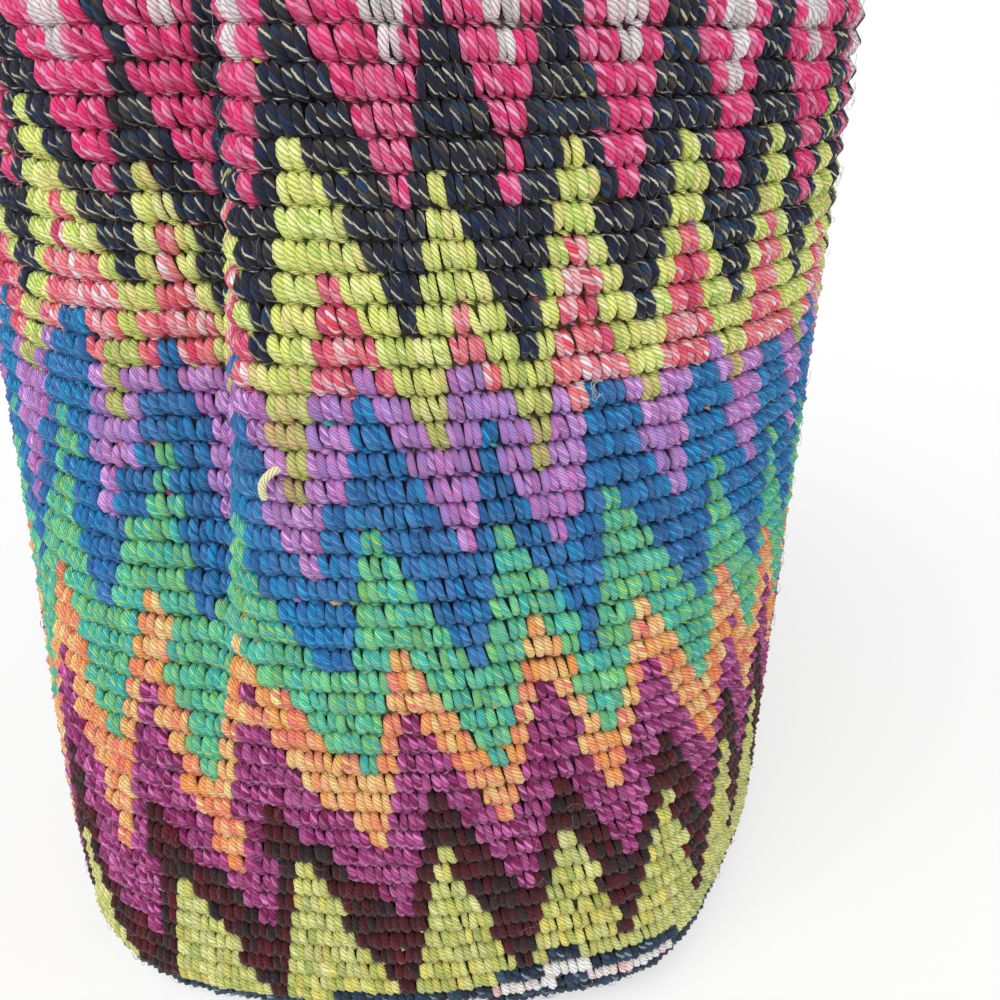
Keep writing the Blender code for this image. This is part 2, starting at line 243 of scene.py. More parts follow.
def profile(along):
    """Radius, height and outward normal at lengths along the wall, from the base up."""
    turn = np.interp(along, ROLL_LENGTHS, ROLL_ANGLES)
    radius = BAG_RADIUS - EDGE_ROLL_WIDTH * (1.0 - np.sin(turn)) + np.minimum(along, 0.0)
    height = EDGE_ROLL_HEIGHT * (1.0 - np.cos(turn)) + np.maximum(along - ROLL_LENGTH, 0.0)
    out = EDGE_ROLL_HEIGHT * np.sin(turn)
    down = EDGE_ROLL_WIDTH * np.cos(turn)
    size = np.hypot(out, down)
    return radius, height, out / size, -down / size


def fold_offset(angle, height):
    """Depth of the fold, steep on its right and shallow on its left."""
    rise = smooth_step(height, FOLD_LOWEST, FOLD_FULL_ABOVE)
    turned = smooth_step(height, FOLD_LOWEST, RIM_HEIGHT)
    centre = FOLD_ANGLE_LOW + (FOLD_ANGLE_TOP - FOLD_ANGLE_LOW) * turned
    width = np.where(angle > centre, FOLD_RIGHT_WIDTH, FOLD_LEFT_WIDTH)
    return FOLD_DEPTH * rise * bell(angle, centre, width)


def soft_offset(angle, height):
    """How far the soft wall leaves its circle: a fold, a slump, two corners and an oval mouth."""
    rise = smooth_step(height, FOLD_LOWEST, FOLD_FULL_ABOVE)
    slump = SIDE_SLUMP * rise * bell(angle, SIDE_SLUMP_ANGLE, SIDE_SLUMP_HALF_WIDTH)
    oval = MOUTH_OVAL * smooth_step(height, RIM_HEIGHT / 2.0, RIM_HEIGHT) * np.cos(2.0 * angle)
    corners = 0.0
    for size, centre, half_width, top in CORNERS:
        full = size * fade_out(height, CORNER_FULL_BELOW, top)
        corners = corners + full * bell(angle, centre, half_width)
    return corners - fold_offset(angle, height) - slump - oval


def around(angle, radius, height):
    """Points at angles around the middle of the bag."""
    shape = np.broadcast(angle, radius, height).shape
    level = np.broadcast_to(height, shape)
    return np.stack([radius * np.sin(angle), -radius * np.cos(angle), level], axis=-1)


def crest_points(angle, along):
    """Points on the smooth surface over the ridges of the rounds."""
    radius, height, _, _ = profile(along)
    offset = soft_offset(angle, height) * np.minimum(radius / (BAG_RADIUS - EDGE_ROLL_WIDTH), 1.0)
    return around(angle, radius + offset, height)


def wall_points(angle, along, depth):
    """Points a given depth inside the crest surface of the wall, and the outward directions."""
    small = 0.002
    tiny = 0.0002
    turned = crest_points(angle + small, along) - crest_points(angle - small, along)
    raised = crest_points(angle, along + tiny) - crest_points(angle, along - tiny)
    normals = unit(np.cross(turned, raised))
    points = crest_points(angle, along) - np.asarray(depth)[..., None] * normals
    return points, normals


def smooth_noise(place, seed):
    """Seeded smooth noise from -1 to 1 along a line."""
    cells = 4096
    table = np.random.default_rng(seed).uniform(-1.0, 1.0, cells)
    cell = np.floor(place).astype(int)
    share = smooth_step(place - cell, 0.0, 1.0)
    return table[cell % cells] * (1.0 - share) + table[(cell + 1) % cells] * share


# Pattern

# Places are counted in columns from the front. The left lobe is the wall left of the fold
HALF_TEETH = 12


def tooth_edges():
    """Column of the left edge of each tooth of the zigzag, counted from the tooth at the front."""
    number = np.arange(-HALF_TEETH, HALF_TEETH)
    weight = (1.0 - 0.17 * np.exp(-(((number - 2.5) / 2.4) ** 2))
              + 0.10 * np.exp(-(((number + 1.0) / 1.2) ** 2)))
    width = COLUMNS * weight / weight.sum()
    edges = np.concatenate([[0.0], np.cumsum(width)])
    return edges - edges[HALF_TEETH]


# Left edge of the front tooth of a band that starts at the start row, and how far the teeth
# move right for each row that a band starts below it
TOOTH_EDGES = tooth_edges()
TOOTH_START = -11.1
TOOTH_SHIFT = 0.37
TOOTH_START_ROW = 3.0


def row_shift(place, row):
    """Rows by which the pattern starts lower than at the front, at places around the bag."""
    # The left lobe starts higher, and most of all from row 9 to row 13
    left_lobe = fade_out(place, -14.0, -8.0)
    upper = -0.2 - 2.0 * smooth_step(row, 5.0, 9.0) * (1.0 - 0.6 * smooth_step(row, 13.0, 16.0))
    upper = upper * fade_out(row, 20.0, 30.0)
    shift = left_lobe * upper
    # The lower rows sink towards the left, and those on the right start higher
    far_left = fade_out(place, -17.0, -13.0) * fade_out(row, 30.0, 35.0)
    slope = 0.19 * (1.0 - 0.6 * far_left) * smooth_step(row, 20.0, 34.0)
    shift = shift + slope * np.clip(-place, 0.0, 24.0)
    shift = shift - 1.3 * smooth_step(place, 6.0, 11.0) * smooth_step(row, 6.0, 12.0)
    return shift * fade_out(np.abs(place), 34.0, 50.0)


def extra_fall(place, row):
    """Rows by which the teeth are longer than at the front, at places around the bag."""
    left = 2.4 * fade_out(place, -6.0, -2.0) * fade_out(row, 10.0, 24.0)
    left = left * smooth_step(row, 5.0, 7.5)
    right = 1.6 * smooth_step(place, 10.0, 13.0) * fade_out(row, 9.0, 13.0)
    return left + right


def flat_wobble(name, place):
    """How much lower a band without teeth starts than its row, at places around the bag."""
    if name == "mauve":
        return 0.7 * smooth_noise(place * 0.7, 11)
    left = window(place, -44.0, -34.0, -9.0, -1.0)
    return left - 1.5 * window(place, 3.0, 9.0, 11.0, 22.0)


def column_shift(place, row, left):
    """Columns by which the teeth stand further right than by the rule, at places on the bag."""
    shift = 3.3 * fade_out(row, 4.0, 21.0) * left
    middle_rows = window(row, 11.0, 17.0, 29.0, 34.0)
    near_left = window(place, -16.0, -10.0, -4.5, -1.5)
    near_right = window(place, 8.0, 11.0, 14.0, 18.0)
    shift = shift - middle_rows * (1.1 * near_left + 0.6 * near_right)
    upper_rows = fade_out(row, 7.0, 12.0)
    far_left = window(place, -40.0, -30.0, -15.0, -11.5)
    beside_fold = np.exp(-((place + 8.0) / 3.0) ** 2)
    return shift + upper_rows * (1.8 * far_left - 1.3 * beside_fold)


def below_teeth(band, column, row, place, late_rows):
    """Which stitches lie below the stepped edge of a band with teeth.

    Each tooth falls from its left edge to its right one. One tooth in five starts late_rows lower.
    """
    left = fade_out(place, -8.5, -3.5)
    origin = TOOTH_START + TOOTH_SHIFT * (band["row"] - TOOTH_START_ROW)
    inner = column - column_shift(place, row, left) - origin - TOOTH_EDGES[0]
    inner = inner % COLUMNS + TOOTH_EDGES[0]
    tooth = np.searchsorted(TOOTH_EDGES, inner, side="right") - 1
    width = TOOTH_EDGES[tooth + 1] - TOOTH_EDGES[tooth]
    across = (inner - TOOTH_EDGES[tooth]) / width
    middle = (place + (0.5 - across) * width + HALF_ROUND) % COLUMNS - HALF_ROUND
    extra = extra_fall(middle, row)
    lift = band["left_lift"] * left
    step = np.floor(across * (band["fall"] + extra + lift) - 0.45 * extra - lift)
    late = np.where((tooth - HALF_TEETH) % 5 == 1, late_rows, 0.0)
    return row - row_shift(middle, row) + 0.5 >= band["row"] + late + step


def band_of(column, row):
    """Which band a stitch belongs to. column counts around the bag, row counts down."""
    place = column + COLUMN_DRIFT * (ROW_ZERO_ROUND - row)
    found = np.zeros(np.shape(column), int)
    for number, band in enumerate(BANDS):
        if band["flat"]:
            inside = row + 0.5 >= band["row"] + flat_wobble(band["name"], place)
        else:
            late_rows = fade_out(row, 16.0, 21.0) * (number > BAND_INDEX["black"])
            inside = below_teeth(band, column, row, place, late_rows)
        if band["name"] == "mauve":
            inside = inside & (found == BAND_INDEX["coral"])
        found = np.where(inside, number, found)
    return found


def place_tables():
    """Places of the stitch columns against angles for each round, evenly spaced over the fold."""
    beyond = 0.2
    angles = np.linspace(-HALF_TURN - beyond, HALF_TURN + beyond, 2401)
    kept = smooth_step(angles, math.radians(-150.0), math.radians(-40.0))
    tables = []
    for number in range(WALL_ROUNDS):
        height = profile((number + 0.5) * ROUND_HEIGHT)[1]
        slope = np.gradient(fold_offset(angles, height), angles) / BAG_RADIUS
        longer = (np.hypot(1.0, slope) - 1.0) * (angles[1] - angles[0]) / COLUMN_ANGLE
        extra = np.cumsum(longer[::-1])[::-1]
        tables.append(angles / COLUMN_ANGLE - extra * kept)
    return angles, tables


TABLE_ANGLES, PLACE_TABLES = place_tables()


def column_angle(place, row):
    """Angle of a place counted in columns. The rows are worked tighter right of the front."""
    narrowing = 2.4 * smooth_step(place, -2.0, 13.0) * fade_out(place, 22.0, 70.0)
    narrowing = narrowing * fade_out(row, 8.0, 24.0)
    place, level = np.broadcast_arrays(place - narrowing, np.floor(ROW_ZERO_ROUND - np.asarray(row)))
    angle = place * COLUMN_ANGLE
    for number in range(WALL_ROUNDS):
        chosen = level == number
        angle[chosen] = np.interp(place[chosen], PLACE_TABLES[number], TABLE_ANGLES)
    return angle


# Yarn

YARN_JITTER = 0.20
FLECK_LEVELS = (0.45, 1.0)
STRAND_LEVELS = (0.82, 1.14)
BRIGHTEST_YARN = 0.9
TIP_SHARE = 0.6
PLY_NAMES = ("ply_a", "ply_b", "ply_c")
INSIDE_LAYER = "inside"


def band_stops(settings, row):
    """Stops of a band's yarn at rows, shape (rows, stops, 3). Some yarn changes further down."""
    stops = np.array([linear(c) for c in settings["stops"]])[None]
    if "later" not in settings:
        return np.repeat(stops, len(row), axis=0)
    later = np.array([linear(c) for c in settings["later"]])[None]
    share = smooth_step(row, settings["changes"] - 1.5, settings["changes"] + 1.5)[:, None, None]
    return stops * (1.0 - share) + later * share


def band_values(band, key):
    """One setting of the bands, for each stitch."""
    return np.array([float(settings[key]) for settings in BANDS])[band]


def ply_colours(band, place, row, rng):
    """Linear colours at both ends of strands, for three plies: (strands, ends, plies, 4).

    The last value says how narrow the third ply is.
    """
    count = len(place)
    out = np.zeros((count, 2, 3, 4))
    for number, settings in enumerate(BANDS):
        chosen = np.nonzero(band == number)[0]
        if not len(chosen):
            continue
        stops = band_stops(settings, row[chosen])
        amount = stops.shape[1]
        at = place[chosen] / settings["run"] + YARN_JITTER * rng.standard_normal(len(chosen))
        for end in (0, 1):
            shift = end * settings["blend"] * rng.standard_normal(len(chosen))
            for ply in range(3):
                turn = (at + shift + settings["spread"] * (ply - 1)) % 1.0 * amount
                low = np.floor(turn).astype(int) % amount
                share = smooth_step(turn - np.floor(turn), 0.2, 0.8)[:, None]
                first = stops[np.arange(len(chosen)), low]
                second = stops[np.arange(len(chosen)), (low + 1) % amount]
                out[chosen, end, ply, :3] = first * (1.0 - share) + second * share
        if "fleck" in settings:
            flecked = chosen[rng.random(len(chosen)) < settings["flecked"]]
            level = rng.uniform(*FLECK_LEVELS, (len(flecked), 1, 1))
            out[flecked, :, 2, :3] = linear(settings["fleck"]) * level
            out[flecked, :, 2, 3] = 1.0
    light = band_values(band, "light")[:, None, None, None]
    out[..., :3] *= light * rng.uniform(*STRAND_LEVELS, (count, 1, 1, 1))
    out[..., :3] = np.minimum(out[..., :3], BRIGHTEST_YARN)
    return out


def new_object(name, data):
    """A new object with the given data, in the scene."""
    made = bpy.data.objects.new(name, data)
    bpy.context.scene.collection.objects.link(made)
    return made


def colour_points(mesh, name, values):
    """Give a mesh one colour for each of its points."""
    attribute = mesh.color_attributes.new(name, "FLOAT_COLOR", "POINT")
    attribute.data.foreach_set("color", values.astype(np.float32).ravel())


def tube_faces(rings, sides):
    """Faces of one closed tube: corners, their rings, their turns and the sizes of the faces.

    The points are the rings in order, and then the tips at the first and at the last ring.
    """
    faces = []
    for ring in range(rings - 1):
        faces += [((ring, k), (ring + 1, k), (ring + 1, k + 1), (ring, k + 1)) for k in range(sides)]
    faces += [((0, k), (0, k + 1), (rings, k + 0.5)) for k in range(sides)]
    faces += [((rings - 1, k + 1), (rings - 1, k), (rings + 1, k + 0.5)) for k in range(sides)]
    # The tips count as two more rings here, and are the points after the last ring
    ring, turn = np.array([corner for face in faces for corner in face]).T
    corners = np.where(ring < rings, ring * sides + turn % sides, ring + rings * (sides - 1))
    return corners.astype(int), ring.astype(int), (turn + 0.5) / sides, [len(f) for f in faces]


def yarn_object(name, centres, normals, radii, sides, phase_pitch, plies, colours):
    """Closed tapered tubes along many centre lines, as one mesh.

    centres and normals are (strands, rings, 3), radii (strands, rings). The first map
    coordinate holds the turn of the plies, and the second the place along the strand.
    """
    strands, rings, _ = centres.shape
    tangents = unit(np.gradient(centres, axis=1))
    across = unit(np.cross(tangents, normals))
    outward = np.cross(across, tangents)
    turn = FULL_TURN * (np.arange(sides) + 0.5) / sides
    ring = (centres[:, :, None]
            + radii[:, :, None, None] * (np.cos(turn)[:, None] * across[:, :, None]
                                         + np.sin(turn)[:, None] * outward[:, :, None]))
    tips = np.stack([centres[:, 0] - tangents[:, 0] * radii[:, :1] * TIP_SHARE,
                     centres[:, -1] + tangents[:, -1] * radii[:, -1:] * TIP_SHARE], axis=1)
    points = np.concatenate([ring.reshape(strands, rings * sides, 3), tips], axis=1)
    points = points.reshape(-1, 3)
    points[:, 2] = np.maximum(points[:, 2], 0.0)

    steps = np.linalg.norm(np.diff(centres, axis=1), axis=2)
    arc = np.concatenate([np.zeros((strands, 1)), np.cumsum(steps, axis=1)], axis=1)
    arc = np.concatenate([arc, arc[:, :1] - TIP_SHARE * radii[:, :1],
                          arc[:, -1:] + TIP_SHARE * radii[:, -1:]], axis=1)
    share = arc / np.maximum(arc[:, rings - 1:rings], 1e-9)
    start = np.random.default_rng(len(name) + strands).uniform(40.0, 43.0, strands)

    corners, corner_ring, corner_turn, sizes = tube_faces(rings, sides)
    all_corners = corners[None] + np.arange(strands)[:, None] * (rings * sides + 2)
    all_sizes = np.tile(sizes, strands)
    starts = np.concatenate([[0], np.cumsum(all_sizes)[:-1]])
    phase = plies[:, None] * corner_turn[None] - arc[:, corner_ring] / phase_pitch[:, None]
    maps = np.stack([phase + start[:, None], share[:, corner_ring]], axis=-1)

    mesh = bpy.data.meshes.new(name)
    mesh.vertices.add(len(points))
    mesh.loops.add(all_corners.size)
    mesh.polygons.add(len(all_sizes))
    mesh.vertices.foreach_set("co", points.astype(np.float32).ravel())
    mesh.loops.foreach_set("vertex_index", all_corners.astype(np.int32).ravel())
    mesh.polygons.foreach_set("loop_start", starts.astype(np.int32))
    mesh.update(calc_edges=True)
    layer = mesh.uv_layers.new(name="yarn")
    layer.uv.foreach_set("vector", maps.astype(np.float32).ravel())
    ends = np.repeat(np.linspace(0.0, 1.0, rings), sides)
    ends = np.concatenate([ends, [0.0, 1.0]])[None, :, None]
    for number, label in enumerate(PLY_NAMES):
        first, last = colours[:, None, 0, number], colours[:, None, 1, number]
        colour_points(mesh, label, first * (1.0 - ends) + last * ends)
    mesh.shade_smooth()
    return new_object(name, mesh)


def coloured_solid(name, points, faces, colours):
    """A smooth mesh object whose colours are in the layer that the inside material reads."""
    mesh = bpy.data.meshes.new(name)
    mesh.from_pydata([tuple(p) for p in points.tolist()], [], faces)
    mesh.update()
    colour_points(mesh, INSIDE_LAYER, colours)
    mesh.shade_smooth()
    return new_object(name, mesh)


# Materials

def new_node(tree, kind, inputs, **settings):
    """A new node, with its inputs set to constants or linked to outputs of other nodes."""
    node = tree.nodes.new(kind)
    for name, value in settings.items():
        setattr(node, name, value)
    fill_inputs(tree, node, inputs)
    return node


def fill_inputs(tree, node, inputs):
    """Set inputs of a node to constants, or link them to outputs of other nodes."""
    for name, value in inputs.items():
        if isinstance(value, (int, float, tuple)):
            node.inputs[name].default_value = value
        else:
            tree.links.new(value, node.inputs[name])


def add_math(tree, operation, *values):
    """Output of a new math node with one to three inputs."""
    return new_node(tree, "ShaderNodeMath", dict(enumerate(values)), operation=operation).outputs[0]


def smooth_mask(tree, value, low, high):
    """Share that eases from 0 at the low value to 1 at the high one."""
    inputs = {"Value": value, "From Min": low, "From Max": high}
    node = new_node(tree, "ShaderNodeMapRange", inputs, interpolation_type="SMOOTHSTEP")
    return node.outputs["Result"]


def mix(tree, share, first, second):
    """Mix of two colours, with a share of the second one."""
    inputs = {0: share, 6: first, 7: second}
    return new_node(tree, "ShaderNodeMix", inputs, data_type="RGBA").outputs[2]


def mix_shaders(tree, share, first, second, output):
    """Send a mix of two shaders to an output node, with a share of the second one."""
    inputs = {0: share, 1: first.outputs[0], 2: second.outputs[0]}
    node = new_node(tree, "ShaderNodeMixShader", inputs)
    fill_inputs(tree, tree.nodes[output], {"Surface": node.outputs[0]})


def new_material(name, inputs):
    """A new material, its node tree and its shader, with some inputs set."""
    material = bpy.data.materials.new(name)
    material.use_nodes = True
    tree = material.node_tree
    shader = tree.nodes["Principled BSDF"]
    fill_inputs(tree, shader, inputs)
    return material, tree, shader


def new_texture(tree, kind, scale):
    """A texture node that is fixed to the object."""
    place = tree.nodes.new("ShaderNodeTexCoord").outputs["Object"]
    return new_node(tree, kind, {"Scale": scale, "Vector": place})


def finish_surface(tree, shader, colour, shade, height, strength, distance, **settings):
    """Send a colour times a shade to the shader, and a bump of the given height."""
    scaled = new_node(tree, "ShaderNodeVectorMath", {0: colour, "Scale": shade}, operation="SCALE")
    inputs = {"Strength": strength, "Distance": distance, "Height": height}
    bump = new_node(tree, "ShaderNodeBump", inputs, **settings)
    fill_inputs(tree, shader, {"Base Color": scaled.outputs[0], "Normal": bump.outputs[0]})


def yarn_material(name):
    """Plied yarn: three ply colours in turn around the strand, with a groove between plies that is
    darkened as painted shade.
    """
    material, tree, shader = new_material(name, {
        "Roughness": 0.72, "Specular IOR Level": 0.30, "Sheen Weight": 0.12, "Sheen Roughness": 0.5})
    maps = new_node(tree, "ShaderNodeUVMap", {}, uv_map="yarn").outputs["UV"]
    split = new_node(tree, "ShaderNodeSeparateXYZ", {"Vector": maps})
    noise = new_texture(tree, "ShaderNodeTexNoise", 2600.0)
    fill_inputs(tree, noise, {"Detail": 1.0})
    fuzz = noise.outputs["Fac"]
    # Fuzz shakes the lines between the plies
    shake = add_math(tree, "MULTIPLY", add_math(tree, "SUBTRACT", fuzz, 0.5), 0.35)
    phase = add_math(tree, "ADD", split.outputs["X"], shake)

    # The third ply starts later where it is narrow
    ply = add_math(tree, "MODULO", phase, float(len(PLY_NAMES)))
    layers = [new_node(tree, "ShaderNodeVertexColor", {}, layer_name=name) for name in PLY_NAMES]
    first, second, third = [layer.outputs["Color"] for layer in layers]
    third_from = add_math(tree, "MULTIPLY_ADD", layers[2].outputs["Alpha"], 0.56, 1.9)
    third_full = add_math(tree, "ADD", third_from, 0.2)
    colour = mix(tree, smooth_mask(tree, ply, 0.9, 1.1), first, second)
    colour = mix(tree, smooth_mask(tree, ply, third_from, third_full), colour, third)

    # Painted shade: the colour darkens in the grooves between plies; the fuzz adds random tone
    wave = add_math(tree, "SINE", add_math(tree, "MULTIPLY", phase, math.pi))
    ridge = add_math(tree, "POWER", add_math(tree, "ABSOLUTE", wave), 0.7)
    shade = add_math(tree, "MULTIPLY_ADD", ridge, 0.60, 0.50)
    grain = add_math(tree, "MULTIPLY_ADD", fuzz, 0.30, 0.87)
    shade = add_math(tree, "MULTIPLY", shade, grain)
    height = add_math(tree, "ADD", ridge, add_math(tree, "MULTIPLY", fuzz, 0.5))
    finish_surface(tree, shader, colour, shade, height, 0.75, 0.00022)
    return material


def inside_material():
    """Wrong side of the crochet: short bars of yarn in rows, with painted shade in the gaps between
    the bars.
    """
    inputs = {"Roughness": 0.85, "Specular IOR Level": 0.2}
    material, tree, shader = new_material("crochet_wrong_side", inputs)
    bars = new_texture(tree, "ShaderNodeTexVoronoi", 420.0).outputs["Distance"]
    # Painted shade: the colour darkens away from the middle of each bar, in the low gaps
    shade = add_math(tree, "MULTIPLY_ADD", bars, -0.7, 1.1)
    layer = new_node(tree, "ShaderNodeVertexColor", {}, layer_name=INSIDE_LAYER)
    finish_surface(tree, shader, layer.outputs["Color"], shade, bars, 0.9, 0.0009, invert=True)
    return material


# Stitches on the wall and base

# Path of each leg of a stitch, with 5 rings at the front of the wall and 3 elsewhere: across
# the stitch, up it, out of the fabric in metres, and how thick the strand is
LEG_U = {
    5: (np.array([0.07, 0.12, 0.21, 0.30, 0.43]), np.array([0.55, 0.60, 0.69, 0.79, 0.93])),
    3: (np.array([0.11, 0.21, 0.38]), np.array([0.59, 0.69, 0.88])),
}
LEG_V = {5: np.array([0.91, 0.76, 0.50, 0.25, 0.08]), 3: np.array([0.90, 0.50, 0.11])}
LEG_W = {5: np.array([-2.10, -0.90, -0.25, -0.80, -2.00]) * 0.001,
         3: np.array([-1.60, -0.30, -1.50]) * 0.001}
LEG_R = {5: np.array([0.78, 1.02, 1.08, 1.02, 0.80]), 3: np.array([0.88, 1.06, 0.88])}

# How much the strands vary from stitch to stitch
LEG_SWAY = 0.036
LEG_LEAN = 0.155
LEG_STRETCH = 0.035
LEG_RISE = 0.032
LEG_DEPTH = 0.00014
LEG_FULLNESS = 0.085
ROUND_WOBBLE = 0.00028

# Loop that lies in the valley under a stitch
LOOP_U = np.array([0.30, 0.62, 0.98])
LOOP_V = np.array([0.10, 0.01, -0.09])
LOOP_W = np.array([-1.9, -1.25, -1.9]) * 0.001
LOOP_R = np.array([0.55, 0.70, 0.55])


def joined(strands):
    """The arrays of several groups of strands, each joined to those of its kind."""
    return [np.concatenate(kind) for kind in zip(*strands)]


def leg_paths(count, rings, leg, rng, looseness):
    """Paths of one leg of many stitches: across and up in stitch units, outward in metres."""
    u = LEG_U[rings][leg][None] + rng.normal(0.0, LEG_SWAY * looseness, (count, 1))
    lean = rng.normal(0.0, LEG_LEAN * looseness, (count, 1))
    stretch = rng.normal(1.0, LEG_STRETCH * looseness, (count, 1))
    v = 0.5 + (LEG_V[rings][None] - 0.5) * stretch
    v = v + rng.normal(0.0, LEG_RISE * looseness, (count, 1))
    u = u + lean * (0.5 - LEG_V[rings][None])
    w = LEG_W[rings][None] + rng.normal(0.0, LEG_DEPTH * looseness, (count, 1))
    r = LEG_R[rings][None] * rng.normal(1.0, LEG_FULLNESS * looseness, (count, 1))
    return u, v, w, r


def loop_paths(count, rng):
    """Paths of the loops in the valleys, in the same units."""
    u = LOOP_U[None] + rng.normal(0.0, 0.06, (count, 1))
    v = LOOP_V[None] + rng.normal(0.0, 0.03, (count, 1))
    w = LOOP_W[None] + rng.normal(0.0, 0.00012, (count, 1))
    return u, v, w, LOOP_R[None] * rng.normal(1.0, 0.08, (count, 1))


def wall_strands(column, number, rings, seed, loops=False):
    """Strands of wall stitches, given the column and round of each: two legs, or the loop only."""
    rng = np.random.default_rng(seed)
    row = ROW_ZERO_ROUND - 1 - number
    place = column + COLUMN_DRIFT * number
    band = band_of(column.astype(float), row.astype(float))
    if loops:
        # Carried yarn shows here and there: the colour of the next or the last band
        carried = rng.random(len(band)) < CARRIED_SHARE
        moved = np.clip(band + rng.choice([-1, 1, 1, 2], len(band)), 2, BAND_INDEX["low_lime"])
        band = np.where(carried & (band <= BAND_INDEX["low_lime"]), moved, band)
    yarn_place = column + number * COLUMNS + 3.0 * smooth_noise(number * 0.37 + 50.0, 5)
    ends = [column_angle(place + side, row + 0.5) for side in (0.0, 1.0)]
    sides = [crest_points(end, (number + 0.5) * ROUND_HEIGHT) for end in ends]
    width = np.linalg.norm(sides[1] - sides[0], axis=1)
    strands = []
    for leg in (2,) if loops else (0, 1):
        if loops:
            u, v, w, r = loop_paths(len(column), rng)
        else:
            u, v, w, r = leg_paths(len(column), rings, leg, rng, 1.0)
        here = place[:, None] + u
        angle = column_angle(here, row[:, None] + 0.5)
        wobble = ROUND_WOBBLE * smooth_noise(place * 0.31 + number * 7.0, 21)[:, None]
        along = (number[:, None] + v) * ROUND_HEIGHT + wobble
        point, normal = wall_points(angle, along, -w)
        radii = r * (STRAND_SHARE * width)[:, None]
        strands.append((point, normal, radii, band, yarn_place + 0.4 * leg, row))
    centres, normals, radii, band, places, rows = joined(strands)
    return centres, normals, radii, band, ply_colours(band, places, rows, rng)


def base_stripe(number):
    """Yarn of a flat round, counted from the edge of the base to its middle."""
    if number % 6 < 4:
        return "base"
    return "cream" if number % 12 < 6 else "low_lime"


def base_strands(seed):
    """Strands of the flat rounds under the bag."""
    rng = np.random.default_rng(seed)
    flat_radius = BAG_RADIUS - EDGE_ROLL_WIDTH
    strands = []
    for number in range(int(flat_radius / ROUND_HEIGHT)):
        middle = flat_radius - (number + 0.5) * ROUND_HEIGHT
        count = max(6, int(round(FULL_TURN * middle / BASE_STITCH)))
        column = np.arange(count)
        band = np.full(count, BAND_INDEX[base_stripe(number)])
        for leg in (0, 1):
            u, v, w, r = leg_paths(count, 3, leg, rng, 1.0)
            angle = (column[:, None] + u) / count * FULL_TURN + 0.13 * number
            along = (v - 1.0 - number) * ROUND_HEIGHT
            point, normal = wall_points(angle, along, -w + BASE_DEPTH)
            strands.append((point, normal, r * BASE_STRAND, band, column + 100.0 * number))
    centres, normals, radii, band, places = joined(strands)
    colours = ply_colours(band, places, np.full(len(band), 45.0), rng)
    return centres, normals, radii, band, colours


def finish_piece(made, material, node):
    """Give a piece its material, hide the part of the CAD that it stands for, and attach it to the
    root body.
    """
    made.data.materials.append(material)
    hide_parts(node)
    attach(made, "root")


def make_yarn_piece(name, parts, sides, material, node):
    """One piece of many strands, from their centres, normals, radii, bands and colours."""
    centres, normals, radii, band, colours = parts
    made = yarn_object(name, centres, normals, radii, sides, band_values(band, "pitch"),
                       band_values(band, "plies"), colours)
    finish_piece(made, material, node)


def make_wall(material):
    """Stitches of the wall, finer on the front, with the valley loops there, and the base."""
    number, column = np.meshgrid(np.arange(WALL_ROUNDS), np.arange(COLUMNS), indexing="ij")
    number, column = number.ravel(), column.ravel().astype(float)
    place = column + COLUMN_DRIFT * number
    column = column - COLUMNS * np.round(place / COLUMNS)
    angle = (column + COLUMN_DRIFT * number) * COLUMN_ANGLE
    front = (angle > FRONT_FROM) & (angle < FRONT_TO) & (number < FRONT_ROUNDS)
    groups = {
        "wall_front_low": (front & (number < 16), 5, 6),
        "wall_front_middle": (front & (number >= 16) & (number < 31), 5, 6),
        "wall_front_high": (front & (number >= 31), 5, 6),
        "wall_back_low": (~front & (number < 28), 3, 4),
        "wall_back_high": (~front & (number >= 28), 3, 4),
    }
    for seed, (name, (chosen, rings, sides)) in enumerate(groups.items()):
        parts = wall_strands(column[chosen], number[chosen], rings, 100 + seed)
        make_yarn_piece(name, parts, sides, material, "bag_body")
    loops = wall_strands(column[front], number[front], 3, 150, loops=True)
    make_yarn_piece("valley_loops", loops, 3, material, "bag_body")
    make_yarn_piece("base_rounds", base_strands(140), 3, material, "bag_body")


def make_loose_end(material):
    """A cut end of cream yarn that hooks out of the wall."""
    rng = np.random.default_rng(190)
    angle = np.radians(np.array(LOOSE_END_ANGLES))
    along = np.array(LOOSE_END_ALONG)
    path, normal = wall_points(angle, along, -np.array(LOOSE_END_LIFTS))
    path, normal = smooth_path(path, 4)[None], unit(smooth_path(normal, 4))[None]
    radii = np.full(path.shape[:2], LOOSE_END_RADIUS)
    band = np.array([BAND_INDEX["cream"]])
    colours = ply_colours(band, np.array([6.0]), np.array([41.0]), rng)
    colours[..., :3] = linear(LOOSE_END_COLOUR)
    parts = (path, normal, radii, band, colours)
    make_yarn_piece("loose_end", parts, 8, material, "bag_body")


def wisp_paths():
    """Three curled fibres of a pale wisp that stands off the wall."""
    turns = np.array([[0.0, 2.4, 4.4, 6.6], [1.0, 3.0, 5.0, 7.0], [0.4, 2.0, 3.8, 5.4]])
    spread = np.array([[1.0], [0.7], [0.45]])
    angle = WISP_ANGLE + spread * 0.0013 / BAG_RADIUS * np.cos(turns)
    along = WISP_ALONG + spread * 0.0016 * np.sin(turns) - 0.0004 * turns
    path, normal = wall_points(angle, along, np.full(angle.shape, -WISP_LIFT))
    colours = np.zeros((3, 2, 3, 4))
    colours[..., :3] = linear(WISP_COLOUR)
    return (path, normal, np.full(path.shape[:2], WISP_RADIUS),
            np.full(3, BAND_INDEX["cream"]), colours)


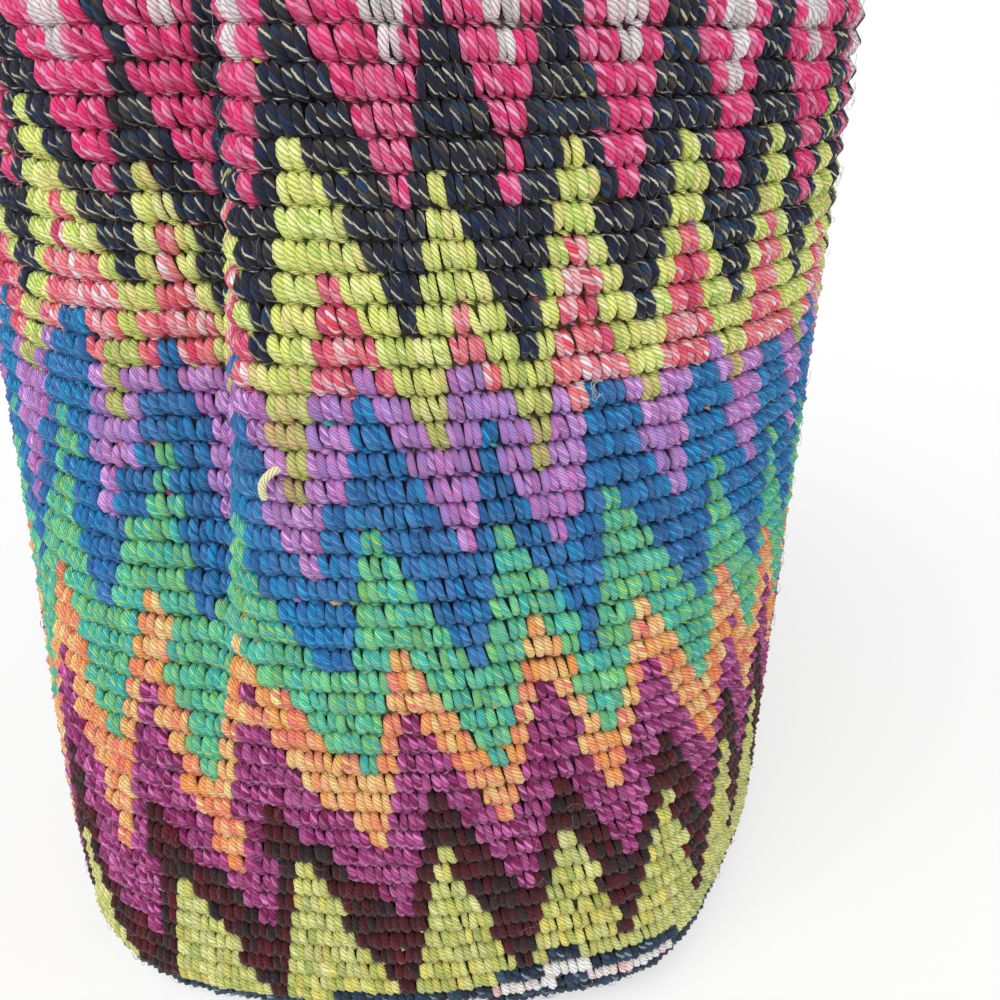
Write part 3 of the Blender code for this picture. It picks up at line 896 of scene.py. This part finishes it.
def make_fibres(material):
    """Stray fibres that stand off the yarn at the front, and one pale wisp."""
    rng = np.random.default_rng(195)
    count = STRAY_FIBRES
    number = rng.integers(1, FRONT_ROUNDS, count)
    column = rng.uniform(*FIBRE_COLUMNS, count)
    row = (ROW_ZERO_ROUND - 1 - number).astype(float)
    place = column + COLUMN_DRIFT * number
    band = band_of(np.floor(column), row)
    share = np.linspace(0.0, 1.0, 4)[None]
    heading = rng.uniform(0.0, FULL_TURN, (count, 1))
    bend = rng.normal(0.0, 1.3, (count, 1))
    length = rng.uniform(*FIBRE_LENGTHS, (count, 1))
    across = length * share * np.cos(heading + bend * share)
    up = length * share * np.sin(heading + bend * share)
    angle = column_angle(place[:, None] + across / (BAG_RADIUS * COLUMN_ANGLE), row[:, None] + 0.5)
    along = (number[:, None] + 0.5) * ROUND_HEIGHT + up
    lift = 0.0006 + 0.0009 * np.sin(HALF_TURN * share) * rng.uniform(0.2, 1.0, (count, 1))
    centres, normals = wall_points(angle, along, -lift)
    radii = np.full(centres.shape[:2], FIBRE_RADIUS)
    colours = ply_colours(band, column + COLUMNS * number, row, rng)
    # Single fibres look paler than their yarn
    colours[..., :3] = colours[..., :3] * 0.55 + 0.35
    parts = joined([(centres, normals, radii, band, colours), wisp_paths()])
    make_yarn_piece("stray_fibres", parts, 3, material, "bag_body")


def make_rim(material):
    """Chain of loops that closes the rim."""
    rng = np.random.default_rng(170)
    column = np.arange(COLUMNS).astype(float)
    top = WALL_ROUNDS * ROUND_HEIGHT
    strands = []
    for sign, depth in ((1.0, 0.0016), (-1.0, 0.0036)):
        u = np.array([-0.15, 0.45, 1.10])[None] + rng.normal(0.0, 0.04, (COLUMNS, 1))
        sway = np.array([0.0010, 0.0, 0.0010])[None] * sign
        angle = (column[:, None] + u) * COLUMN_ANGLE
        point, _ = wall_points(angle, np.full_like(angle, top), depth + sway)
        point[:, :, 2] += np.array([0.0, 0.0010, 0.0002])[None]
        up = np.broadcast_to(np.array([0.0, 0.0, 1.0]), point.shape)
        radii = np.array([0.0008, 0.0011, 0.0008])[None] * rng.normal(1.0, 0.05, (COLUMNS, 1))
        strands.append((point, up, radii))
    band = np.full(2 * COLUMNS, BAND_INDEX["rim"])
    colours = ply_colours(band, np.tile(column, 2), np.full(len(band), -12.0), rng)
    parts = (*joined(strands), band, colours)
    make_yarn_piece("rim_chain", parts, 4, material, "bag_body")


def closed_faces(sections, sides, turned):
    """Faces of a closed tube whose points are given section by section."""
    quads = []
    for start in range(0, (sections - 1) * sides, sides):
        for k in range(sides):
            a, b = start + k, start + (k + 1) % sides
            quads.append((a, a + sides, b + sides, b))
    ends = [tuple(range(sides)), tuple(range(sections * sides - 1, (sections - 1) * sides - 1, -1))]
    if turned:
        return [(a, d, c, b) for a, b, c, d in quads] + [end[::-1] for end in ends]
    return quads + ends


def make_backing(material):
    """The inside of the fabric: a closed shell behind the strands, ridged on its inner side, with
    its outer side darkened as painted shade between the strands.
    """
    segments = 168
    samples = np.linspace(-HALF_TURN, HALF_TURN, 721)
    middle = (FOLD_ANGLE_TOP + FOLD_ANGLE_LOW) / 2.0
    weight = 1.0 + 5.0 * bell(samples, middle, math.radians(10.0))
    total = np.concatenate([[0.0], np.cumsum((weight[1:] + weight[:-1]) / 2.0)])
    angle = np.interp(np.linspace(0.0, total[-1], segments + 1)[:-1], total, samples)

    # Rings from near the middle of the base up the outside, over the rim and back down inside:
    # number, place along the wall, depth, how far it is raised, and shade, which scales the colour:
    # painted shade on the outside behind the strands, and darker inside. The base is below 0
    first = -16
    rings = []
    for number in range(first, WALL_ROUNDS + 1, 2):
        drop = RIM_DROP if number == WALL_ROUNDS else 0.0
        rings.append((number, number * ROUND_HEIGHT - drop, BACKING_DEPTH, 0.0, BACKING_PAINTED_SHADE))
    top = WALL_ROUNDS * ROUND_HEIGHT
    rings.append((WALL_ROUNDS, top, WALL_THICKNESS / 2.0, RIM_DROP, INSIDE_SHADE))
    for number in range(WALL_ROUNDS, first - 1, -1):
        for step, depth in ((0.0, WALL_THICKNESS - INSIDE_RIDGE),
                            (ROUND_HEIGHT / 2.0, WALL_THICKNESS + INSIDE_VALLEY)):
            rings.append((number, number * ROUND_HEIGHT - step, depth, 0.0, INSIDE_SHADE))

    rng = np.random.default_rng(180)
    points = []
    colours = np.ones((len(rings), segments, 4))
    for index, (number, along, depth, raised, shade) in enumerate(rings):
        ring = wall_points(angle, np.full(segments, along), depth)[0]
        ring[:, 2] += raised
        points.append(ring)
        row = np.full(segments, float(ROW_ZERO_ROUND - 1 - min(max(number, 0), WALL_ROUNDS - 1)))
        column = angle / COLUMN_ANGLE - COLUMN_DRIFT * (ROW_ZERO_ROUND - 1 - row)
        band = band_of(column, row)
        if number < 0:
            band = np.full(segments, BAND_INDEX[base_stripe(-number)])
        mixed = ply_colours(band, column + COLUMNS * number, row, rng)[..., :3].mean(axis=(1, 2))
        # Painted shade on the outer rings, darkened to stand for the shade between the strands
        colours[index, :, :3] = mixed * shade
    faces = closed_faces(len(rings), segments, True)
    made = coloured_solid("fabric_inside", np.concatenate(points), faces, colours)
    finish_piece(made, material, "bag_body")


# Strap

def smooth_path(points, steps):
    """Smooth curve through the points, with a number of steps between each two."""
    points = np.array(points)
    padded = np.vstack([2.0 * points[0] - points[1], points, 2.0 * points[-1] - points[-2]])
    out = []
    for i in range(1, len(padded) - 2):
        before, start, end, after = padded[i - 1:i + 3]
        for k in range(steps):
            t = k / steps
            out.append(0.5 * (2.0 * start + (end - before) * t
                              + (2.0 * before - 5.0 * start + 4.0 * end - after) * t ** 2
                              + (3.0 * start - before - 3.0 * end + after) * t ** 3))
    out.append(points[-1])
    return np.array(out)


def direction_at(angle):
    """Level direction away from the middle of the bag, at an angle around it."""
    return around(angle, 1.0, 0.0)


def strap_half_stations(floor_run):
    """Stations of half the strap, from its sewn end to the middle of its loop."""
    half_thick = STRAP_THICKNESS / 2.0
    inner = BAG_RADIUS - WALL_THICKNESS - STRAP_SEWN_GAP - half_thick
    outer = BAG_RADIUS + STRAP_WALL_GAP + half_thick
    start_offset = soft_offset(STRAP_ANGLE, RIM_HEIGHT)
    stations = []

    def add(angle, radius, height, curl):
        direction = direction_at(angle + QUARTER_TURN)
        stations.append((around(angle, radius, height), direction, curl))

    for share in (1.0, 0.66, 0.33, 0.10):
        height = RIM_HEIGHT - STRAP_SEWN_LENGTH * share
        add(STRAP_ANGLE, inner + soft_offset(STRAP_ANGLE, height), height, -1.0 / inner)
    reach = (outer - inner) / 2.0
    arch_base = RIM_HEIGHT + RIM_CROWN + STRAP_LIFT
    for turn in (0.25, 0.5, 0.75):
        angle = turn * HALF_TURN
        radius = (inner + outer) / 2.0 + start_offset - reach * math.cos(angle)
        height = arch_base + (reach + half_thick) * (math.sin(angle) - 0.5)
        add(STRAP_ANGLE, radius, height, (2.0 * turn - 1.0) / radius)

    drop_top = RIM_HEIGHT - 2.0 * ROUND_HEIGHT
    drop_low = STRAP_TOE_RADIUS + half_thick
    drops = 7
    for i in range(drops + 1):
        share = i / drops
        angle = STRAP_ANGLE + (STRAP_FOOT_ANGLE - STRAP_ANGLE) * share
        height = drop_top + (drop_low - drop_top) * share
        curl = 1.0 / outer * min(1.0, 2.0 * (1.0 - share))
        add(angle, outer + soft_offset(angle, height), height, curl)

    floor_height = half_thick + FLOOR_GAP
    foot_out = direction_at(STRAP_FOOT_ANGLE)
    foot_across = direction_at(STRAP_FOOT_ANGLE + QUARTER_TURN)
    for turn in (0.33, 0.66, 1.0):
        angle = turn * QUARTER_TURN
        radius = outer + STRAP_TOE_RADIUS * (1.0 - math.cos(angle))
        height = floor_height + STRAP_TOE_RADIUS * (1.0 - math.sin(angle))
        add(STRAP_FOOT_ANGLE, radius, height, 0.0)

    toe = stations[-1][0]
    loop_middle_y = toe[1] + floor_run
    loop_side = np.array([STRAP_LOOP_RADIUS, loop_middle_y, floor_height])
    up = np.array([0.0, 0.0, 1.0])
    run_steps = 5
    for i in range(1, run_steps + 1):
        share = i / run_steps
        ease = smooth_step(share, 0.0, 1.0)
        first = toe + foot_out * floor_run * 0.45 * share
        second = loop_side - np.array([0.0, floor_run * 0.45 * (1.0 - share), 0.0])
        centre = first * (1.0 - ease) + second * ease
        twist = ease * QUARTER_TURN
        flat = foot_across * (1.0 - ease) + np.array([1.0, 0.0, 0.0]) * -ease
        flat = flat / np.linalg.norm(flat)
        direction = flat * math.cos(twist) + up * math.sin(twist)
        centre[2] = FLOOR_GAP + half_thick * math.cos(twist) + STRAP_WIDTH / 2.0 * math.sin(twist)
        stations.append((centre, direction, 0.0))
    for turn in (0.34, 0.67, 1.0):
        angle = turn * QUARTER_TURN
        centre = np.array([STRAP_LOOP_RADIUS * math.cos(angle),
                           loop_middle_y + STRAP_LOOP_RADIUS * math.sin(angle),
                           FLOOR_GAP + STRAP_WIDTH / 2.0])
        stations.append((centre, up, 0.0))
    return stations


def strap_frames(floor_run, steps):
    """Centre, width direction, face normal and curl along the whole strap."""
    half = strap_half_stations(floor_run)
    flip = np.array([-1.0, 1.0, 1.0])
    mirrored = [(centre * flip, direction * flip, curl) for centre, direction, curl in half[-2::-1]]
    centres, widths, curls = zip(*(half + mirrored))
    centres, widths = smooth_path(centres, steps), smooth_path(widths, steps)
    curls = smooth_path(np.array(curls)[:, None], steps)[:, 0]
    tangents = unit(np.gradient(centres, axis=0))
    widths -= tangents * np.sum(widths * tangents, axis=1)[:, None]
    widths = unit(widths)
    return centres, widths, np.cross(tangents, widths), curls


def path_length(points):
    """Length of a path through points."""
    return float(np.sum(np.linalg.norm(np.diff(points, axis=0), axis=1)))


def fitted_strap(steps):
    """Frames of the strap, with the run on the floor that gives it its whole length."""
    floor_run = STRAP_LENGTH / 8.0
    for _ in range(12):
        length = path_length(strap_frames(floor_run, 2)[0])
        floor_run += (STRAP_LENGTH - length) / 2.0
    return strap_frames(floor_run, steps)


def strap_points(frames, along, across, out):
    """Points on the strap from the place along it, across it and out of its middle surface."""
    centres, widths, normals, curls = frames
    steps = np.linalg.norm(np.diff(centres, axis=0), axis=1)
    arc = np.concatenate([[0.0], np.cumsum(steps)])
    along = np.clip(along, 0.0, arc[-1])

    def at(values):
        return np.stack([np.interp(along, arc, values[:, i]) for i in range(3)], axis=-1)

    curl = np.interp(along, arc, curls)
    normal = unit(at(normals))
    point = at(centres) + unit(at(widths)) * across[..., None]
    return point + normal * (out - curl * across ** 2 / 2.0)[..., None], normal


STRAP_ROWS = 6
STRAP_STITCH = 0.0047
STRAP_STRAND = 0.00112
STRAP_CORE_COLOUR = (24, 28, 44)


def make_strap(material, frames):
    """Rows of stitches along both faces of the strap."""
    rng = np.random.default_rng(200)
    half = STRAP_WIDTH / 2.0
    row_height = STRAP_WIDTH / STRAP_ROWS
    count = int(STRAP_LENGTH / STRAP_STITCH)
    row, column = np.meshgrid(np.arange(STRAP_ROWS), np.arange(count), indexing="ij")
    row, column = row.ravel(), column.ravel().astype(float)
    for face, side in (("face", 1.0), ("back", -1.0)):
        strands = []
        for leg in (0, 1):
            u, v, w, r = leg_paths(len(row), 3, leg, rng, 1.1)
            along = (column[:, None] + u + 0.3 * (row[:, None] % 2)) * STRAP_STITCH
            across = (-half + (row[:, None] + v) * row_height) * side
            fullness = (1.0 - np.minimum(np.abs(across) / half, 1.0) ** 4) ** 0.33
            out = side * (0.0018 * fullness + (w + 0.0004) * 0.8)
            point, normal = strap_points(frames, along, across, out)
            strands.append((point, normal * side, r * STRAP_STRAND))
        band = np.full(2 * len(row), BAND_INDEX["black"])
        place = np.tile(column + row * 61.0, 2)
        parts = (*joined(strands), band, ply_colours(band, place, np.zeros(len(band)), rng))
        make_yarn_piece("strap_" + face, parts, 4, material, "shoulder_strap")



def make_strap_core(material, frames):
    """Closed flat core under the stitches of the strap."""
    sections = 150
    outline = np.array([(-0.95, 0.0), (-0.7, 0.0009), (0.0, 0.0011), (0.7, 0.0009),
                        (0.95, 0.0), (0.7, -0.0009), (0.0, -0.0011), (-0.7, -0.0009)])
    along = np.repeat(np.linspace(0.0, STRAP_LENGTH, sections), len(outline))
    across = np.tile(outline[:, 0] * (STRAP_WIDTH / 2.0), sections)
    out = np.tile(outline[:, 1], sections)
    points, _ = strap_points(frames, along, across, out)
    colours = np.tile(np.append(linear(STRAP_CORE_COLOUR), 1.0), (len(points), 1))
    faces = closed_faces(sections, len(outline), False)
    core = coloured_solid("strap_core", points, faces, colours)
    finish_piece(core, material, "shoulder_strap")


def sewing_path(side):
    """Run of sewing yarn, to and fro across the sewn end of the strap."""
    strap_face = BAG_RADIUS - WALL_THICKNESS - STRAP_SEWN_GAP - STRAP_THICKNESS
    radius = strap_face - TOUCH_GAP - SEWING_YARN_RADIUS
    half_span = STRAP_WIDTH / 2.0 - SEWING_INSET
    usable = STRAP_SEWN_LENGTH - 2.0 * SEWING_INSET
    lowest = RIM_HEIGHT - STRAP_SEWN_LENGTH + SEWING_INSET
    points = []
    for i in range(SEWING_ROWS + 1):
        height = lowest + usable * i / SEWING_ROWS
        ends = (-1.0, -0.33, 0.33, 1.0) if i % 2 == 0 else (1.0, 0.33, -0.33, -1.0)
        for k, end in enumerate(ends):
            angle = side * STRAP_ANGLE + end * half_span / radius
            tilt = usable / SEWING_ROWS * k / len(ends)
            level = height if i == SEWING_ROWS else height + tilt
            points.append(around(angle, radius + soft_offset(angle, level), level))
    return smooth_path(points, 4)


def make_sewing(material):
    """Yarn that sews the ends of the strap to the inside of the rim."""
    rng = np.random.default_rng(230)
    for name, side in (("strap_stitch_right", 1.0), ("strap_stitch_left", -1.0)):
        path = sewing_path(side)[None]
        inward = -unit(path * np.array([1.0, 1.0, 0.0]))
        radii = np.full(path.shape[:2], SEWING_YARN_RADIUS)
        band = np.array([BAND_INDEX["black"]])
        parts = (path, inward, radii, band, ply_colours(band, np.array([3.0]), np.zeros(1), rng))
        make_yarn_piece(name + "_yarn", parts, 7, material, name)


# Stage

def make_stage():
    """A floor and a world that look whiter to the camera than the light that they give."""
    mesh = bpy.data.meshes.new("floor")
    corners = [(-FLOOR_SIZE, -FLOOR_SIZE), (FLOOR_SIZE, -FLOOR_SIZE),
               (FLOOR_SIZE, FLOOR_SIZE), (-FLOOR_SIZE, FLOOR_SIZE)]
    mesh.from_pydata([(x, y, FLOOR_LEVEL) for x, y in corners], [], [(0, 1, 2, 3)])
    floor = new_object("floor", mesh)
    inputs = {"Base Color": WHITE, "Roughness": 1.0, "Specular IOR Level": 0.0}
    material, tree, shader = new_material("pale_floor", inputs)
    plain = new_node(tree, "ShaderNodeEmission", {"Color": WHITE, "Strength": 1.0})
    seen = tree.nodes.new("ShaderNodeLightPath").outputs["Is Camera Ray"]
    share = add_math(tree, "MULTIPLY", seen, FLOOR_WHITE)
    mix_shaders(tree, share, shader, plain, "Material Output")
    mesh.materials.append(material)

    world = bpy.data.worlds.new("soft_room")
    world.use_nodes = True
    tree = world.node_tree
    background = tree.nodes["Background"]
    fill_inputs(tree, background, {"Strength": WORLD_LEVEL, "Color": WHITE})
    white = new_node(tree, "ShaderNodeBackground", {"Color": WHITE})
    seen = tree.nodes.new("ShaderNodeLightPath").outputs["Is Camera Ray"]
    mix_shaders(tree, seen, background, white, "World Output")
    bpy.context.scene.world = world


def add_sun(name, direction, softness, strength):
    """A soft lamp that shines along a direction, evenly over the whole stage."""
    light = bpy.data.lights.new(name, "SUN")
    light.angle = math.radians(softness)
    light.energy = strength
    made = new_object(name, light)
    made.rotation_mode = "QUATERNION"
    made.rotation_quaternion = Vector(direction).to_track_quat("-Z", "Y")


def make_camera():
    """The camera of the photograph, tilted down towards the front of the bag."""
    data = bpy.data.cameras.new("camera")
    data.sensor_fit = "HORIZONTAL"
    data.sensor_width = 36.0
    data.lens = CAMERA_LENS
    data.clip_start = 0.01
    made = new_object("camera", data)
    made.location = CAMERA_PLACE
    made.rotation_euler = (math.pi / 2.0 - CAMERA_TILT, 0.0, 0.0)
    bpy.context.scene.camera = made


def main():
    """Build every piece, the stage, the lamps and the camera."""
    bpy.context.scene.view_settings.view_transform = "Standard"
    yarn = yarn_material("plied_yarn")
    inside = inside_material()
    make_wall(yarn)
    make_loose_end(yarn)
    make_fibres(yarn)
    make_rim(yarn)
    make_backing(inside)
    frames = fitted_strap(6)
    make_strap(yarn, frames)
    make_strap_core(inside, frames)
    make_sewing(yarn)
    make_stage()
    for name, direction, softness, strength in LAMPS:
        add_sun(name, direction, softness, strength)
    make_camera()


main()
